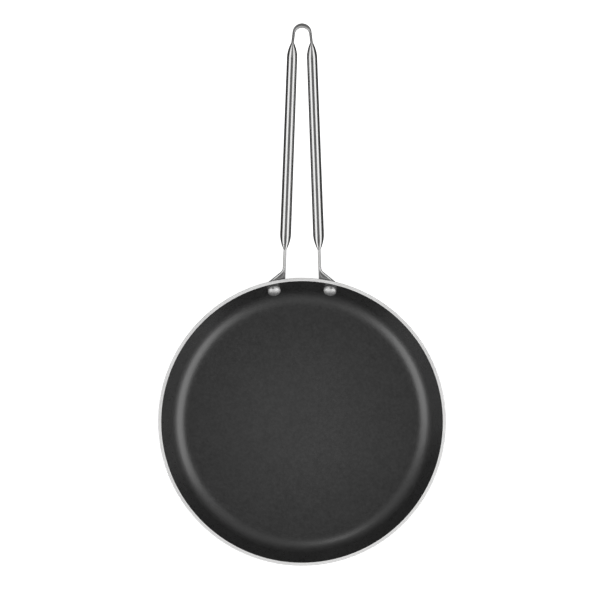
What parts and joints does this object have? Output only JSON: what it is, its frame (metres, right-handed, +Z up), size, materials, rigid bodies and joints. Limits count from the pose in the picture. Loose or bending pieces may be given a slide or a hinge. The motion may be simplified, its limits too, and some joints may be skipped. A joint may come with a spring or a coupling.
{
  "type": "crepe pan",
  "caption": "Shallow round nonstick crepe pan with a flared wall and a riveted looped tube handle.",
  "frame": {"origin": "middle of the base's flat underside, on the surface that the pan stands on", "axes": "+Z up out of the dish, +Y from the dish's middle along the handle, +X to the right seen from above"},
  "size_m": [0.24, 0.4483, 0.0783],
  "materials": {
    "pan_aluminium": "satin, turned",
    "nonstick_coating": "satin, finely pebbled",
    "handle_steel": "polished",
    "rivet_steel": "polished"
  },
  "bodies": {
    "root": {"pan_body": "pan_aluminium", "nonstick_lining": "nonstick_coating", "handle": "handle_steel", "rivet_left": "rivet_steel", "rivet_right": "rivet_steel"}
  },
  "joints": []
}
